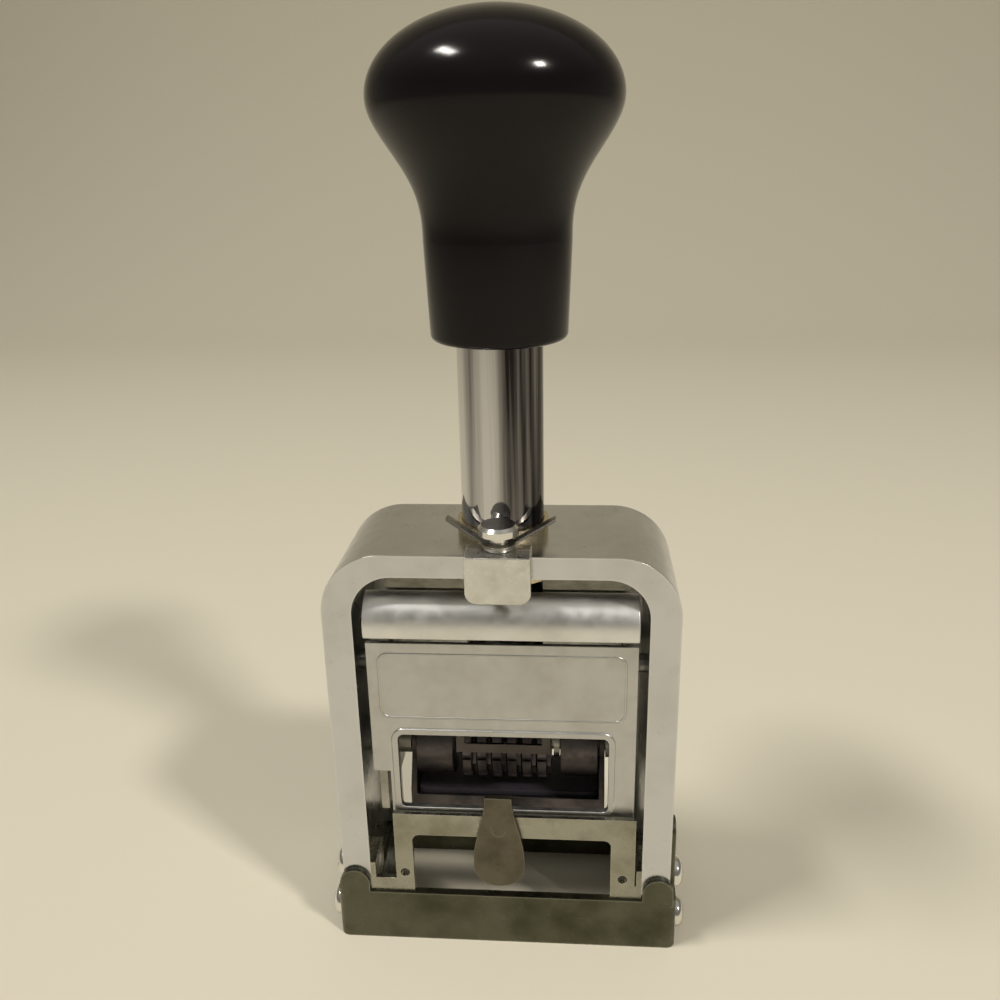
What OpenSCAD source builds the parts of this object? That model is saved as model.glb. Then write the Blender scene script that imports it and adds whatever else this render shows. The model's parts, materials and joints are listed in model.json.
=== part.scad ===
// Hand numbering machine: a nickel-plated bridge frame on an open foot, a sprung plunger with a
// turned knob, and a carriage that carries six number wheels down to the paper.
// Origin: middle of the foot's underside. +Z up, the face plate looks along -Y. Millimetres.

/* [Frame] */
// Outside width of the bridge frame
frame_w = 56; // [54:0.5:62]
// Height of the bridge frame's top face above the paper
frame_h = 72.6; // [71:0.2:76]
// Front to back depth of the frame
frame_d = 23.2; // [23:0.1:24]
// Thickness of each leg
leg_t = 4.8; // [3.6:0.1:5.2]
// Thickness of the top of the frame
top_t = 3.7; // [3:0.1:5]
// Outer radius of the frame's top corners
frame_r = 10; // [8:0.5:12]
// Inner radius of the frame's top corners
frame_ri = 6.5; // [4:0.5:8]

/* [Foot] */
// Height of the foot
foot_h = 9.7; // [8:0.1:11]
// Thickness of the foot outside each leg
foot_side = 1.2; // [1:0.1:3]
// Thickness of the foot's lip in front of and behind each leg
foot_lip = 0.8; // [0.6:0.1:2]
// Thickness of the foot's front and rear walls beside the aperture
foot_wall = 1.5; // [1:0.1:1.7]
// Thickness of the floor that each leg stands on
foot_floor = 2; // [1:0.1:3]
// Height of the round-topped ears on the foot
ear_h = 14; // [12:0.5:18]
// Gap between the aperture and each leg
aperture_rim = 1; // [0.6:0.1:1.2]

/* [Gate] */
// Sheet thickness of the front gate
gate_t = 1; // [0.6:0.1:1.2]
// Height of the top of the gate's rail
gate_top = 25.7; // [24:0.1:27]
// Height of the gate's rail
rail_h = 4.2; // [3:0.1:5]
// Width of the left post
post_l_w = 3.1; // [2:0.1:4]
// Width of the right post
post_r_w = 4.1; // [3:0.1:5]
// Left edge of the gate's opening, left of the middle
open_l = 15.6; // [13:0.1:16]
// Right edge of the gate's opening, right of the middle
open_r = 17.9; // [15:0.1:18]

/* [Plunger] */
// Travel of the plunger, which is also the height of the type above the paper at rest
stroke = 24.5; // [22:0.5:25]
// Outside diameter of the stem
stem_od = 13.2; // [12.4:0.1:13.6]
// Inside diameter of the stem
stem_id = 9.8; // [9.4:0.1:10.4]
// Length of stem that shows between the frame and the knob
stem_show = 31; // [30:0.5:40]
// Wall of the bush that guides the stem
bush_wall = 0.64; // [0.5:0.02:0.9]
// Height of the bush above the frame
bush_rise = 2.2; // [1:0.1:3]
// Wire diameter of the plunger spring
spring_wire = 1.3; // [1:0.1:1.5]
// Number of turns of the plunger spring
spring_turns = 14; // [10:1:16]
// Diameter of the bar that carries the spring
bar_d = 3.2; // [2.6:0.1:3.6]
// Distance of the spring bar's middle above the wheels' type
bar_rise = 10.1; // [9:0.1:11]

/* [Knob] */
// Height of the knob
knob_h = 45.5; // [40:0.5:52]
// Largest diameter of the knob
knob_d = 36.4; // [32:0.2:42]
// Diameter of the knob's lower end
knob_foot_d = 20.8; // [19:0.2:22]
// Diameter of the neck under the knob's bulb
knob_neck_d = 21.9; // [21:0.1:24]
// Height of the widest place below the knob's top
knob_crown = 11.6; // [9:0.2:14]

/* [Number wheels] */
// Number of wheels
wheels = 6; // [6:1:6]
// Diameter over the type
wheel_d = 14; // [13:0.1:14.2]
// Spacing of the wheels along the axle
wheel_pitch = 2.6; // [2.3:0.1:2.7]
// Gap between two wheels
wheel_gap = 0.2; // [0.15:0.05:0.3]
// Height of the raised type blocks
type_h = 0.6; // [0.4:0.1:0.8]
// Width of the ratchet ring on each wheel
ratchet_w = 0.7; // [0.6:0.1:0.9]
// Diameter of the wheel axle
axle_d = 4; // [3:0.1:4.4]
// Distance of the axle behind the stem's axis
axle_y = 3.2; // [2.9:0.1:3.3]

/* [Carriage] */
// Thickness of the side plates
side_t = 1.3; // [1:0.1:1.6]
// Clearance between a side plate and its guide rail
rail_gap = 0.3; // [0.2:0.05:0.5]
// Thickness of each guide rail
guide_t = 2; // [1.5:0.1:2.4]
// Gap between the side plates and the underside of the frame's top, with the plunger up
top_gap = 7.9; // [7.4:0.1:9]
// Thickness of the crossheads that hold the stem
head_t = 2.5; // [2:0.1:3]
// Thickness of the face plate
face_t = 0.8; // [0.6:0.1:1]
// Distance of the face plate's top edge below the side plates' top
face_drop = 4; // [3.6:0.1:6]
// Width of the window in the face plate
window_w = 34.6; // [32:0.2:35]
// Height of the window in the face plate
window_h = 14.1; // [13:0.1:15]
// Outer radius of the rolled cover
roll_r = 5; // [4.4:0.1:5.2]
// Sheet thickness of the rolled cover
roll_t = 0.8; // [0.5:0.1:1]
// Thickness of the rear plate
rear_t = 1.2; // [1:0.1:1.6]
// Height of the rear plate's lower edge above the wheels' axis
rear_rise = 6; // [5:0.1:7]
// Length of each collar between a side plate and the pad tray's arm
collar_l = 2.4; // [2:0.1:3]

/* [Ink pad] */
// Length of the pad along the axle
pad_l = 31.8; // [28:0.2:31.8]
// Front to back size of the pad
pad_d = 11.1; // [10:0.1:11.3]
// Thickness of the pad
pad_t = 2.4; // [2:0.1:2.6]
// Sheet thickness of the pad tray
tray_t = 0.8; // [0.6:0.1:1]
// Thickness of the tray's swing arms
arm_t = 1; // [0.8:0.1:1.2]

/* [Latch and dial] */
// Width of the latch's thumb tab
latch_w = 10; // [8:0.2:12]
// Travel of the latch
latch_travel = 1.2; // [0.8:0.1:1.2]
// Diameter of the latch screw's head
latch_head_d = 6.2; // [5:0.1:7]
// Diameter of the selector dial
dial_d = 17; // [14:0.5:20]
// Distance of the dial's middle below the side plates' top
dial_drop = 11; // [10:0.1:12]

/* [Hidden] */
$fn = 64;
eps = 0.01;
run_fit = 0.05;
side_play = 0.2;

leg_in = frame_w / 2 - leg_t;
foot_w = frame_w + 2 * foot_side;
foot_d = frame_d + 2 * foot_lip;
aperture_x = leg_in - aperture_rim;
aperture_y = foot_d / 2 - foot_wall;
aperture_r = 1;

stem_r = stem_od / 2;
bush_r = stem_r + run_fit + bush_wall;
bush_flange_r = bush_r + 2.7;
bush_flange_t = 2;
knob_z = frame_h + stem_show;

wheel_r = wheel_d / 2;
axle_r = axle_d / 2;
axle_z = stroke + wheel_r;
bank_x = wheels * wheel_pitch / 2;

side_out = leg_in - guide_t - rail_gap;
side_in = side_out - side_t;
side_low = stroke + 0.5;
side_top = frame_h - top_t - top_gap;
face_y = -(aperture_y - 0.6);
face_top = side_top - face_drop;
side_front = face_y + face_t;
side_rear = axle_y + wheel_r + 0.5;
head_low = side_top - head_t;
rear_low = axle_z + rear_rise;

bar_r = bar_d / 2;
bar_z = axle_z + wheel_r + bar_rise;
bar_slot = bar_d + 0.9;
stem_low = bar_z - bar_r - 2.5;
stem_slot_low = bar_z - bar_r - 0.3;
stem_slot_top = bar_z + stroke + bar_r + 0.3;
stem_in = 8.4;
plug_t = 6;
plug_stud_r = 2.5;
plug_stud_l = 10;
spring_low = bar_z + bar_r;
spring_top = knob_z + stem_in - plug_t;
spring_r = stem_id / 2 - spring_wire / 2 - 0.35;

function polar(r, a) = [r * sin(a), r * cos(a)];

// Box between two corners
module block(lo, hi) translate(lo) cube(hi - lo);

// Round bar along X between two places
module rod_x(r, x0, x1, y, z) translate([x0, y, z]) rotate([0, 90, 0]) cylinder(r = r, h = x1 - x0);

// Round bar along Y between two places
module rod_y(r, y0, y1, x, z) translate([x, y0, z]) rotate([-90, 0, 0]) cylinder(r = r, h = y1 - y0);

// A flat outline in Y and Z, made solid along X
module plate_x(x0, x1) translate([x0, 0, 0]) rotate([90, 0, 90]) linear_extrude(x1 - x0) children();

// A flat outline in X and Z, made solid along Y
module plate_y(y0, y1) translate([0, y1, 0]) rotate([90, 0, 0]) linear_extrude(y1 - y0) children();

module both_sides() {
    children();
    mirror([1, 0, 0]) children();
}

// Rectangle with round corners, from its lower left corner
module round_rect(w, h, r) {
    translate([r, 0]) square([w - 2 * r, h]);
    translate([0, r]) square([w, h - 2 * r]);
    for (x = [r, w - r], y = [r, h - r]) translate([x, y]) circle(r);
}

// Arch outline with a flat foot and two round top corners
module arch(w, z0, z1, r) {
    translate([-w / 2, z0]) square([w, z1 - z0 - r]);
    translate([-w / 2 + r, z0]) square([w - 2 * r, z1 - z0]);
    for (x = [-1, 1]) translate([x * (w / 2 - r), z1 - r]) circle(r);
}

// ---- Frame ----
leg_low = foot_floor;
screw_r = 1.25;
screw_head_r = 2.6;
screw_head_t = 1.8;
screw_rim = 0.5;
slot_w = 0.6;
slot_t = 0.7;
lower_screw_in = 2.4;
screw_y = -(frame_d / 2 - 3.4);
upper_screw_z = foot_h + 3.2;
lower_screw_z = foot_floor + 2.4;
latch_y = -(frame_d / 2 - 1.5);
latch_stud_r = 1;
latch_stud_l = 2.6;

module frame_yoke() color([0.74, 0.73, 0.7]) difference() {
    plate_y(-frame_d / 2, frame_d / 2) difference() {
        arch(frame_w, leg_low, frame_h, frame_r);
        arch(2 * leg_in, leg_low - 1, frame_h - top_t, frame_ri);
    }
    translate([0, 0, frame_h - top_t - 1]) cylinder(r = bush_r, h = top_t + 2);
    rod_x(bar_r, -frame_w / 2 - 1, frame_w / 2 + 1, 0, bar_z);
    both_sides() {
        rod_x(screw_r, leg_in - 1, frame_w / 2 + 1, screw_y, upper_screw_z);
        rod_x(screw_r, frame_w / 2 - lower_screw_in, frame_w / 2 + 1, screw_y, lower_screw_z);
    }
    translate([0, latch_y, frame_h - latch_stud_l]) cylinder(r = latch_stud_r, h = latch_stud_l + 1);
}

// ---- Foot ----
ear_in = leg_in + 0.2;
ear_out = foot_w / 2 - 0.6;
ear_r = (ear_out - ear_in) / 2;

module foot() color([0.62, 0.61, 0.52]) difference() {
    union() {
        translate([-foot_w / 2, -foot_d / 2, 0])
            linear_extrude(foot_h) round_rect(foot_w, foot_d, 1.5);
        both_sides() for (s = [-1, 1])
            plate_y(s > 0 ? frame_d / 2 : -foot_d / 2, s > 0 ? foot_d / 2 : -frame_d / 2) {
                translate([ear_in, foot_h - 1]) square([2 * ear_r, ear_h - ear_r - foot_h + 1]);
                translate([ear_in + ear_r, ear_h - ear_r]) circle(ear_r);
            }
    }
    translate([-aperture_x, -aperture_y, -1])
        linear_extrude(foot_h + 2) round_rect(2 * aperture_x, 2 * aperture_y, aperture_r);
    both_sides() {
        block([leg_in, -frame_d / 2, foot_floor], [frame_w / 2, frame_d / 2, ear_h + 1]);
        rod_x(screw_r, frame_w / 2 - 1, foot_w / 2 + 1, screw_y, lower_screw_z);
    }
}

module side_screw(x0, x1, z, turn) {
    rod_x(screw_r, x0, x1, screw_y, z);
    translate([x1, screw_y, z]) difference() {
        rotate([0, 90, 0]) rotate_extrude() polygon([[0, 0], [screw_head_r, 0],
            for (a = [0:15:75]) [screw_head_r * cos(a), screw_rim + (screw_head_t - screw_rim) * sin(a)],
            [0, screw_head_t]]);
        rotate([turn, 0, 0]) block([screw_head_t - slot_t, -2 * screw_head_r, -slot_w / 2],
            [screw_head_t + 1, 2 * screw_head_r, slot_w / 2]);
    }
}

leaf_t = 0.8;
module side_screws() color([0.8, 0.79, 0.76]) {
    both_sides() side_screw(frame_w / 2 - lower_screw_in, foot_w / 2, lower_screw_z, 35);
    mirror([1, 0, 0]) side_screw(leg_in - gate_flange_t, frame_w / 2, upper_screw_z, -20);
    side_screw(leg_in - gate_flange_t, frame_w / 2 + leaf_t, upper_screw_z, 60);
}

leaf_h = 14;
leaf_w = 4.6;
module foot_leaf() color([0.66, 0.65, 0.6]) difference() {
    plate_x(frame_w / 2, frame_w / 2 + leaf_t) {
        translate([screw_y - leaf_w / 2, foot_h + 0.2]) square([leaf_w, leaf_h - leaf_w / 2]);
        translate([screw_y, foot_h + 0.2 + leaf_h - leaf_w / 2]) circle(leaf_w / 2);
    }
    rod_x(screw_r, frame_w / 2 - 1, frame_w / 2 + leaf_t + 1, screw_y, upper_screw_z);
}

// ---- Front gate: two posts and a rail, screwed between the legs ----
gate_y = -aperture_y - gate_t;
gate_flange_t = 0.9;
gate_flange_h = 5.8;
gate_flange_y = screw_y + 3;
gate_foot_h = 2.7;
gate_r = 1.2;
post_hole_r = 0.8;
post_hole_h = 4;

module front_gate() color([0.72, 0.71, 0.66]) difference() {
    union() {
        plate_y(gate_y, -aperture_y) difference() {
            intersection() {
                translate([-leg_in, foot_h]) square([2 * leg_in, gate_top - foot_h]);
                union() {
                    translate([-open_l - post_l_w, 0])
                        square([open_l + open_r + post_l_w + post_r_w, gate_top]);
                    translate([-leg_in, 0]) square([2 * leg_in, foot_h + gate_foot_h]);
                }
            }
            translate([-open_l, foot_h - 2 * gate_r])
                round_rect(open_l + open_r, gate_top - rail_h - foot_h + 2 * gate_r, gate_r);
        }
        both_sides() block([leg_in - gate_flange_t, gate_y, foot_h],
            [leg_in, gate_flange_y, foot_h + gate_flange_h]);
    }
    rod_x(screw_r, -leg_in - 1, leg_in + 1, screw_y, upper_screw_z);
    rod_y(catch_pin_r, gate_y - 1, -aperture_y + 1, catch_x, catch_z);
    for (x = [-open_l - post_l_w / 2, open_r + post_r_w / 2])
        rod_y(post_hole_r, gate_y - 1, -aperture_y + 1, x, foot_h + post_hole_h);
}

// ---- Catch: the pear-shaped finger tab that hangs in front of the rail ----
catch_x = -0.8;
catch_z = gate_top - rail_h / 2;
catch_pin_r = 1.1;
catch_gap = 0.2;
catch_t = 0.8;
catch_low = foot_h + 2.7;
catch_top = gate_top + 4.3;
catch_w = 8.6;
catch_neck = 4.4;
catch_bowl = 3.87;
catch_y = gate_y - catch_gap - catch_t;

// Half width and height along the side of the pear, from the bowl at 0 to the top of the neck at 1
function catch_half(t) = catch_w / 2 + (catch_neck / 2 - catch_w / 2) * (3 * t * t - 2 * t * t * t);
function catch_height(t) = catch_low + catch_bowl + (catch_top - catch_low - catch_bowl) * (0.1 + 0.9 * t);

module gate_catch() color([0.5, 0.47, 0.4]) difference() {
    union() {
        plate_y(catch_y, catch_y + catch_t) translate([catch_x, 0]) polygon([
            for (a = [-180:12:0]) [catch_w / 2 * cos(a), catch_low + catch_bowl * (1 + sin(a))],
            for (t = [0:0.125:1]) [catch_half(t), catch_height(t)],
            for (t = [1:-0.125:0]) [-catch_half(t), catch_height(t)]]);
        block([catch_x - catch_neck / 2, catch_y, catch_top - catch_t],
            [catch_x + catch_neck / 2, gate_y, catch_top]);
    }
    rod_y(catch_pin_r + run_fit, catch_y - 1, gate_y + 1, catch_x, catch_z);
}

module catch_pin() color([0.6, 0.58, 0.52]) {
    rod_y(catch_pin_r, catch_y - run_fit, -aperture_y, catch_x, catch_z);
}

// ---- Guide rails on the insides of the legs ----
guide_w = 4;
guide_rear = side_rear - 0.5;
guide_low = foot_h + 0.3;
guide_top = side_top + 1;
module guide_rails() color([0.55, 0.54, 0.5]) both_sides()
    block([leg_in - guide_t, guide_rear - guide_w, guide_low], [leg_in, guide_rear, guide_top]);

// ---- Bush, spring bar and spring ----
module stem_bush() color([0.72, 0.66, 0.5]) difference() {
    union() {
        translate([0, 0, frame_h - top_t - bush_flange_t]) cylinder(r = bush_flange_r, h = bush_flange_t);
        translate([0, 0, frame_h - top_t - eps]) cylinder(r = bush_r, h = top_t + bush_rise + eps);
    }
    translate([0, 0, frame_h - top_t - bush_flange_t - 1])
        cylinder(r = stem_r + run_fit, h = bush_flange_t + top_t + bush_rise + 2);
}

module spring_bar() color([0.6, 0.6, 0.6]) rod_x(bar_r, -frame_w / 2, frame_w / 2, 0, bar_z);

// Helix: rings of a six-sided wire, 8 to a turn, from one end to the other
spring_sides = 6;
spring_rings = 8 * spring_turns;
spring_z0 = spring_low + spring_wire / 2;
spring_z1 = spring_top - spring_wire / 2;
function coil_at(i) = [spring_r * cos(i * 45), spring_r * sin(i * 45),
    spring_z0 + (spring_z1 - spring_z0) * i / spring_rings];
coil_points = [for (i = [0:spring_rings]) for (j = [0:spring_sides - 1])
    let (p = coil_at(i), a = j * 360 / spring_sides)
    [p[0] + spring_wire / 2 * cos(a) * cos(i * 45), p[1] + spring_wire / 2 * cos(a) * sin(i * 45),
        p[2] + spring_wire / 2 * sin(a)]];
coil_faces = concat(
    [for (i = [0:spring_rings - 1]) for (j = [0:spring_sides - 1])
        [i * spring_sides + j, (i + 1) * spring_sides + j, i * spring_sides + (j + 1) % spring_sides]],
    [for (i = [0:spring_rings - 1]) for (j = [0:spring_sides - 1])
        [(i + 1) * spring_sides + j, (i + 1) * spring_sides + (j + 1) % spring_sides,
            i * spring_sides + (j + 1) % spring_sides]],
    [for (j = [1:spring_sides - 2]) [0, j, j + 1]],
    [for (j = [1:spring_sides - 2]) [spring_rings * spring_sides, spring_rings * spring_sides + j + 1,
        spring_rings * spring_sides + j]]);
echo(least_gap_between_spring_turns = (spring_z1 - spring_z0) / spring_turns - spring_wire);

module plunger_spring() color([0.5, 0.5, 0.52]) polyhedron(points = coil_points, faces = coil_faces);

// ---- Latch on top of the frame ----
latch_t = 0.8;
latch_fit = 0.1;
latch_rim = 0.9;
latch_front = latch_y - latch_travel - latch_stud_r - latch_fit - latch_rim - latch_t;
latch_back = latch_y + latch_stud_r + latch_fit + latch_rim / 2;
latch_drop = 6.8;
latch_corner = 1.8;

module latch_plate() color([0.76, 0.75, 0.7]) difference() {
    union() {
        block([-latch_w / 2, latch_front, frame_h], [latch_w / 2, latch_back, frame_h + latch_t]);
        plate_y(latch_front, latch_front + latch_t) {
            translate([-latch_w / 2, frame_h - latch_drop + latch_corner])
                square([latch_w, latch_drop - latch_corner + latch_t]);
            translate([-latch_w / 2 + latch_corner, frame_h - latch_drop])
                square([latch_w - 2 * latch_corner, latch_corner + eps]);
            both_sides() translate([latch_w / 2 - latch_corner, frame_h - latch_drop + latch_corner])
                circle(latch_corner);
        }
    }
    for (y = [latch_y, latch_y - latch_travel])
        translate([0, y, frame_h - 1]) cylinder(r = latch_stud_r + latch_fit, h = latch_t + 2);
    block([-latch_stud_r - latch_fit, latch_y - latch_travel, frame_h - 1],
        [latch_stud_r + latch_fit, latch_y, frame_h + latch_t + 1]);
}

spool_z = frame_h + latch_t + latch_fit;
spool_seat_r = 2.3;
spool_seat_t = 0.5;
spool_r = 1.5;
spool_h = 1.9;
spool_head_t = 1;
spool_bevel = 0.5;
module latch_screw() color([0.8, 0.79, 0.74]) translate([0, latch_y, 0]) {
    translate([0, 0, frame_h - latch_stud_l])
        cylinder(r = latch_stud_r, h = spool_z - frame_h + latch_stud_l + eps);
    translate([0, 0, spool_z]) cylinder(r = spool_seat_r, h = spool_seat_t);
    translate([0, 0, spool_z + spool_seat_t - eps]) cylinder(r = spool_r, h = spool_h + 2 * eps);
    translate([0, 0, spool_z + spool_seat_t + spool_h]) {
        cylinder(r = latch_head_d / 2, h = spool_head_t);
        translate([0, 0, spool_head_t - eps])
            cylinder(r1 = latch_head_d / 2, r2 = latch_head_d / 2 - spool_bevel, h = spool_bevel);
    }
}

leaf_spring_t = 0.4;
wing_out = 8.6;
wing_back = 4.6;
wing_rise = 2;
wing_w = 1.6;
wing_end = 0.3;
wing_hub_r = 2.6;
wing_z = spool_z + spool_seat_t;
module latch_spring() color([0.55, 0.53, 0.47]) {
    difference() {
        translate([0, latch_y, wing_z]) cylinder(r = wing_hub_r, h = leaf_spring_t);
        translate([0, latch_y, wing_z - 1]) cylinder(r = spool_r + run_fit, h = leaf_spring_t + 2);
    }
    both_sides() hull() {
        translate([wing_hub_r - wing_end, latch_y, wing_z]) cube([wing_end, wing_w, leaf_spring_t]);
        translate([wing_out - wing_end, latch_y + wing_back, wing_z + wing_rise])
            cube([wing_end, wing_w, leaf_spring_t]);
    }
}

// ---- Knob and stem ----
knob_r = knob_d / 2;
knob_neck_z = 14.4;
knob_wide_z = knob_h - knob_crown;
knob_round = 0.8;
function knob_swell(t) = pow(sin(90 * pow(t, 1.37)), 2);
knob_profile = concat(
    [[0, 0], [knob_foot_d / 2 - knob_round, 0]],
    [for (a = [-60:30:0]) [knob_foot_d / 2 - knob_round * (1 - cos(a)), knob_round * (1 + sin(a))]],
    [for (i = [0:16]) let (t = i / 16) [knob_neck_d / 2 + (knob_r - knob_neck_d / 2) * knob_swell(t),
        knob_neck_z + (knob_wide_z - knob_neck_z) * t]],
    [for (a = [7.5:7.5:82.5]) [knob_r * cos(a), knob_wide_z + knob_crown * sin(a)]],
    [[0, knob_h]]);

module knob() color([0.06, 0.04, 0.04]) translate([0, 0, knob_z]) difference() {
    rotate_extrude($fn = 96) polygon(knob_profile);
    translate([0, 0, -1]) cylinder(r = stem_r, h = stem_in + 1);
    translate([0, 0, stem_in - eps]) cylinder(r = plug_stud_r, h = plug_stud_l);
}

module stem_tube() color([0.8, 0.8, 0.8]) difference() {
    translate([0, 0, stem_low]) cylinder(r = stem_r, h = knob_z + stem_in - stem_low);
    translate([0, 0, stem_low - 1]) cylinder(r = stem_id / 2, h = knob_z + stem_in - stem_low + 2);
    block([-stem_od, -bar_slot / 2, stem_slot_low], [stem_od, bar_slot / 2, stem_slot_top]);
}

module stem_plug() color([0.6, 0.6, 0.62]) translate([0, 0, knob_z + stem_in - plug_t]) {
    cylinder(r = stem_id / 2, h = plug_t);
    translate([0, 0, plug_t - eps]) cylinder(r = plug_stud_r, h = plug_stud_l);
}

// ---- Carriage ----
module crosshead(y0, y1) color([0.66, 0.65, 0.6]) difference() {
    block([-side_in, y0, head_low], [side_in, y1, side_top]);
    translate([0, 0, head_low - 1]) cylinder(r = stem_r, h = head_t + 2);
    if (y1 > 0) for (s = [-1, 1])
        rod_y(rear_screw_r, side_rear - rear_screw_in, side_rear + 1, s * rear_screw_x, rear_screw_z);
}
module crosshead_front() crosshead(side_front, -bar_slot / 2);
module crosshead_rear() crosshead(bar_slot / 2, side_rear);

// Side plate with an open slot for the spring bar and a hole for the axle
module side_plate(x0, x1) color([0.6, 0.59, 0.54]) difference() {
    block([x0, side_front, side_low], [x1, side_rear, side_top]);
    block([x0 - 1, -bar_slot / 2, bar_z - bar_r - 0.6], [x1 + 1, bar_slot / 2, side_top + 1]);
    rod_x(axle_r, x0 - 1, x1 + 1, axle_y, axle_z);
}
module side_plate_left() side_plate(-side_out, -side_in);
module side_plate_right() side_plate(side_in, side_out);

roll_y = side_front + 2.7;
roll_z = side_top - 1;
roll_from = -20;
roll_to = 84;
module rolled_cover() color([0.8, 0.79, 0.76]) {
    plate_x(-side_out - roll_t, side_out + roll_t) difference() {
        translate([roll_y, roll_z]) circle(roll_r);
        translate([roll_y, roll_z]) circle(roll_r - roll_t);
        translate([roll_y, roll_z]) polygon([[0, 0], for (a = [roll_to, 150, 200, 250, 300, 360 + roll_from])
            3 * roll_r * [-cos(a), sin(a)]]);
    }
    both_sides() plate_x(side_out, side_out + roll_t) difference() {
        translate([roll_y, roll_z]) circle(roll_r - roll_t / 2);
        translate([roll_y, roll_z]) polygon([[0, 0], for (a = [roll_to, 150, 200, 250, 300, 360 + roll_from])
            3 * roll_r * [-cos(a), sin(a)]]);
    }
}

face_w = 2 * (side_out + roll_t);
face_low = side_low;
window_low = face_low + 1.2;
face_left_step = window_low + 6.8;
face_left_in = window_w / 2 + 1.6;
window_r = 1;
bezel_w = 1;
bezel_h = 0.3;
module face_plate() color([0.76, 0.75, 0.71]) {
    difference() {
        plate_y(face_y, side_front) {
            translate([-face_w / 2, face_left_step]) square([face_w, face_top - face_left_step]);
            translate([-face_left_in, face_low])
                square([face_left_in + face_w / 2, face_left_step - face_low + eps]);
        }
        plate_y(face_y - 1, side_front + 1) translate([-window_w / 2, window_low])
            round_rect(window_w, window_h, window_r);
    }
    plate_y(face_y - bezel_h, face_y) difference() {
        translate([-window_w / 2 - bezel_w, window_low - bezel_w])
            round_rect(window_w + 2 * bezel_w, window_h + 2 * bezel_w, window_r + bezel_w);
        translate([-window_w / 2, window_low]) round_rect(window_w, window_h, window_r);
    }
}

guard_h = 1.7;
guard_t = 0.6;
guard_low = window_low + window_h - 3.8;
guard_lug = 1.4;
module guard_bar() color([0.82, 0.81, 0.78]) {
    block([-bank_x, side_front, guard_low], [bank_x, side_front + guard_t, guard_low + guard_h]);
    both_sides() block([bank_x - guard_lug, side_front, guard_low],
        [bank_x, side_front + guard_t, window_low + window_h + 3]);
}

rear_screw_x = 14;
rear_screw_z = side_top - head_t / 2;
rear_screw_r = 0.7;
rear_screw_in = 1.6;
rear_head_r = 1.4;
rear_head_t = 0.7;
rear_slot_w = 0.4;
comb_screw_x = 12;
comb_t = 0.35;
comb_end = 1.8;
comb_low = axle_z - 3.5;
comb_top = rear_low + 6;
comb_mid = rear_low + 1.5;
comb_screw_z = (comb_mid + comb_top) / 2;
module rear_plate() color([0.7, 0.69, 0.65]) difference() {
    block([-side_out, side_rear, rear_low], [side_out, side_rear + rear_t, side_top]);
    for (s = [-1, 1]) {
        rod_y(rear_screw_r, side_rear - 1, side_rear + rear_t + 1, s * rear_screw_x, rear_screw_z);
        rod_y(rear_screw_r, side_rear - 1, side_rear + rear_t + 1, s * comb_screw_x, comb_screw_z);
    }
    rod_y(dial_screw_r, side_rear - 1, side_rear + rear_t + 1, 0, dial_z);
}

module rear_screw(x, z) {
    rod_y(rear_screw_r, side_rear - rear_screw_in, dial_y, x, z);
    difference() {
        rod_y(rear_head_r, dial_y, dial_y + rear_head_t, x, z);
        translate([x, dial_y, z]) rotate([0, 3 * x, 0])
            block([-2 * rear_head_r, rear_head_t / 2, -rear_slot_w / 2],
                [2 * rear_head_r, rear_head_t + 1, rear_slot_w / 2]);
    }
}
module rear_screws() color([0.78, 0.77, 0.72]) for (s = [-1, 1]) {
    rear_screw(s * rear_screw_x, rear_screw_z);
    rear_screw(s * comb_screw_x, comb_screw_z);
}

module detent_comb() color([0.7, 0.68, 0.55]) difference() {
    union() {
        block([-comb_screw_x - comb_end, side_rear - comb_t, comb_mid],
            [comb_screw_x + comb_end, side_rear, comb_top]);
        for (i = [0:wheels - 1]) let (x = (i - (wheels - 1) / 2) * wheel_pitch)
            block([x - 0.8, side_rear - comb_t, comb_low], [x + 0.8, side_rear, comb_mid + 1]);
    }
    for (s = [-1, 1]) rod_y(rear_screw_r, side_rear - 1, side_rear + 1, s * comb_screw_x, comb_screw_z);
}

// ---- Selector dial on the rear plate ----
dial_z = side_top - dial_drop;
dial_y = side_rear + rear_t;
dial_t = 0.6;
dial_screw_r = 1.2;
lever_t = 0.8;
lever_l = 9;
module selector_dial() color([0.8, 0.78, 0.7]) difference() {
    rod_y(dial_d / 2, dial_y, dial_y + dial_t, 0, dial_z);
    rod_y(dial_screw_r, dial_y - 1, dial_y + dial_t + 1, 0, dial_z);
}

lever_y = dial_y + dial_t + 0.1;
dial_head_y = lever_y + lever_t + 0.1;
dial_head_r = 2;
dial_head_t = 0.8;
module selector_lever() color([0.72, 0.71, 0.67]) difference() {
    union() {
        plate_y(lever_y, lever_y + lever_t) {
            translate([0, dial_z]) circle(2.4);
            translate([0, dial_z]) polygon([[-1.6, 0], [1.6, 0], [0.6, lever_l], [-0.6, lever_l]]);
        }
        rod_y(1.1, lever_y, lever_y + 2.2, 0, dial_z + lever_l - 1.8);
    }
    rod_y(dial_screw_r + run_fit, lever_y - 1, lever_y + lever_t + 1, 0, dial_z);
}

module selector_screw() color([0.78, 0.77, 0.72]) {
    rod_y(dial_screw_r, side_rear, dial_head_y + eps, 0, dial_z);
    difference() {
        rod_y(dial_head_r, dial_head_y, dial_head_y + dial_head_t, 0, dial_z);
        translate([0, dial_head_y, dial_z]) rotate([0, 30, 0])
            block([-2 * dial_head_r, dial_head_t / 2, -slot_w / 2],
                [2 * dial_head_r, dial_head_t + 1, slot_w / 2]);
    }
}

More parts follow.
